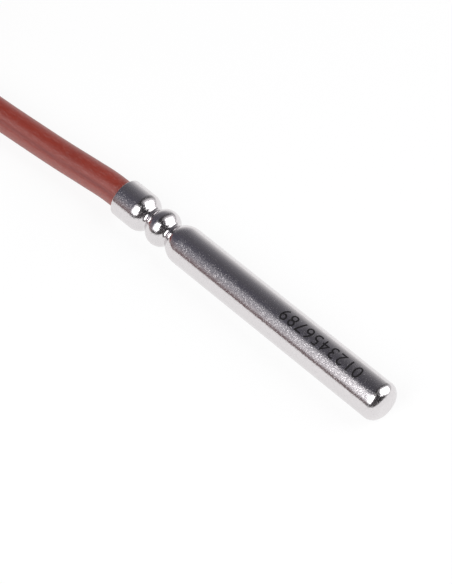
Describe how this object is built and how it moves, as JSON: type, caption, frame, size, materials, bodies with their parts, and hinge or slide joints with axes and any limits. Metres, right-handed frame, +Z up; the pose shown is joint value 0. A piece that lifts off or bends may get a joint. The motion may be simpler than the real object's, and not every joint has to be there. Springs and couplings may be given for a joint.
{
  "type": "cable resistance temperature probe",
  "caption": "Slim closed stainless sleeve rolled onto a round silicone cable by two grooves, holding a thin-film platinum sensor; the spare cable is a tied hank.",
  "frame": {"origin": "below the middle of the sleeve, on the surface that it lies on", "axes": "+X along the sleeve towards its closed tip, +Y to the left seen from the mouth, +Z up"},
  "size_m": [0.1675, 0.0381, 0.0143],
  "materials": {
    "stainless": "bright drawn stainless, finely speckled",
    "jacket": "matt brick-red silicone",
    "liner": "thin amber insulating tube",
    "compound": "set heat-conducting compound",
    "alumina": "white alumina",
    "platinum": "platinum film and wire",
    "cover_glass": "fired glass",
    "splice_metal": "crimped brass tube",
    "dark_tube": "black shrunk tube",
    "white_silicone": "white silicone insulation",
    "red_silicone": "red silicone insulation",
    "tinned_copper": "tinned strands",
    "tie_nylon": "black nylon",
    "ferrule_metal": "bright tinned ferrule"
  },
  "bodies": {
    "root": {"protective_sleeve": "stainless", "insulating_liner": "liner", "thermal_compound": "compound", "sensor_substrate": "alumina", "platinum_track": "platinum", "cover_glass": "cover_glass", "lead_bead": "cover_glass", "sensor_lead_a": "platinum", "sensor_lead_b": "platinum", "lead_tube_a": "liner", "lead_tube_b": "liner", "splice_a": "splice_metal", "splice_b": "splice_metal", "splice_tube_a": "dark_tube", "splice_tube_b": "dark_tube", "core_white": "white_silicone", "core_red_1": "red_silicone", "core_red_2": "red_silicone", "conductor_white": "tinned_copper", "conductor_red_1": "tinned_copper", "conductor_red_2": "tinned_copper", "cable_jacket_end": "jacket", "cable_run": "jacket", "cable_hank": "jacket", "hank_tie_left": "tie_nylon", "hank_tie_right": "tie_nylon", "tail_core_white": "white_silicone", "tail_core_red_1": "red_silicone", "tail_core_red_2": "red_silicone", "tail_conductor_white": "tinned_copper", "tail_conductor_red_1": "tinned_copper", "tail_conductor_red_2": "tinned_copper", "ferrule_white": "ferrule_metal", "ferrule_red_1": "ferrule_metal", "ferrule_red_2": "ferrule_metal"}
  },
  "joints": []
}
